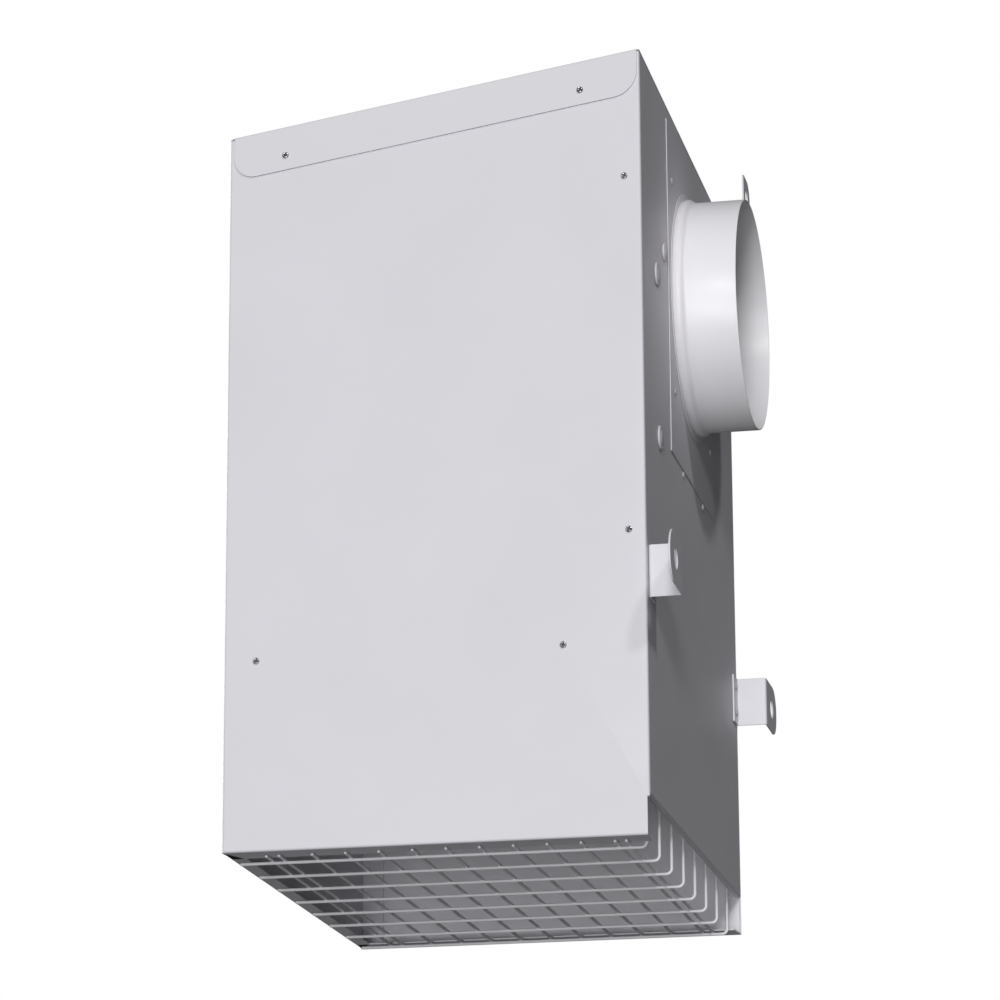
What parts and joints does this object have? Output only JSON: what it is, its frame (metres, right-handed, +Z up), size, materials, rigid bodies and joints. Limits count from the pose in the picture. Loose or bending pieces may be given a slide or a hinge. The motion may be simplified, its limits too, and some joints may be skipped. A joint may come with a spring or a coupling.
{
  "type": "heat recovery unit",
  "caption": "Wall-hung sheet-metal heat recovery unit with a round duct spigot, sloping roof, wire guard over its open bottom, reversing fan, heat storing core and duct damper.",
  "frame": {"origin": "on the duct's axis, in the plane of the wall that the three bracket tabs bolt to", "axes": "+X out of the duct spigot, into the wall; -Y towards the front access panel; +Z up"},
  "size_m": [0.4025, 0.591, 0.692],
  "materials": {
    "casing_paint": "satin powder coat",
    "bracket_paint": "satin powder coat",
    "spigot_paint": "smooth satin",
    "guard_wire": "coated wire",
    "zinc_sheet": "galvanised, spangled",
    "bright_steel": "zinc plated",
    "pale_rubber": "matt",
    "black_plastic": "fine moulded grain",
    "fan_plastic": "moulded",
    "control_case": "moulded",
    "circuit_board": "solder resist",
    "insulation_board": "rigid closed-cell insulation board",
    "core_aluminium": "mill finish",
    "filter_fleece": "stiff pleated synthetic fleece"
  },
  "bodies": {
    "casing": {"actuator_bracket": "zinc_sheet", "back_panel": "casing_paint", "bracket_back": "bracket_paint", "bracket_front": "bracket_paint", "bracket_rivet_1": "bright_steel", "bracket_rivet_2": "bright_steel", "bracket_rivet_3": "bright_steel", "bracket_rivet_4": "bright_steel", "bracket_rivet_5": "bright_steel", "bracket_rivet_6": "bright_steel", "bracket_top": "bracket_paint", "cable_grommet_lower": "pale_rubber", "cable_grommet_upper": "pale_rubber", "circuit_board": "circuit_board", "control_box": "control_case", "control_box_lid": "control_case", "core_cassette": "zinc_sheet", "damper_actuator": "black_plastic", "deck_screw_1": "bright_steel", "deck_screw_2": "bright_steel", "duct_spigot": "spigot_paint", "fan_deck": "zinc_sheet", "fan_motor": "black_plastic", "fan_ring": "zinc_sheet", "filter_frame": "black_plastic", "filter_medium": "filter_fleece", "front_panel": "casing_paint", "heat_core": "core_aluminium", "inner_collar": "zinc_sheet", "liner_back": "insulation_board", "liner_outer": "insulation_board", "liner_roof": "insulation_board", "motor_spider": "zinc_sheet", "outer_panel": "casing_paint", "partition": "zinc_sheet", "plate_rivet_1": "bright_steel", "plate_rivet_2": "bright_steel", "plate_rivet_3": "bright_steel", "plate_rivet_4": "bright_steel", "rail_outer": "zinc_sheet", "rail_rivet_1": "bright_steel", "rail_rivet_2": "bright_steel", "rail_wall": "zinc_sheet", "roof_panel": "casing_paint", "roof_screw_1": "bright_steel", "roof_screw_2": "bright_steel", "sensor_grommet": "pale_rubber", "shaft_bush_back": "black_plastic", "shaft_bush_front": "black_plastic", "side_screw_1": "bright_steel", "side_screw_2": "bright_steel", "spigot_plate": "casing_paint", "terminal_block": "black_plastic", "wall_panel": "casing_paint", "wire_guard": "guard_wire"},
    "fan_rotor": {"fan_impeller": "fan_plastic", "fan_shaft": "bright_steel"},
    "damper": {"damper_blade": "zinc_sheet", "damper_shaft": "bright_steel", "shaft_clamp": "bright_steel"}
  },
  "joints": [
    {"name": "fan_spin", "type": "hinge", "parent": "casing", "child": "fan_rotor", "pos_m": [-0.199, 0.0552, -0.3083], "axis": [0, 0, 1], "continuous": true},
    {"name": "damper_turn", "type": "hinge", "parent": "casing", "child": "damper", "pos_m": [-0.075, 0, 0], "axis": [0, 1, 0], "range_deg": [0, 90]}
  ]
}
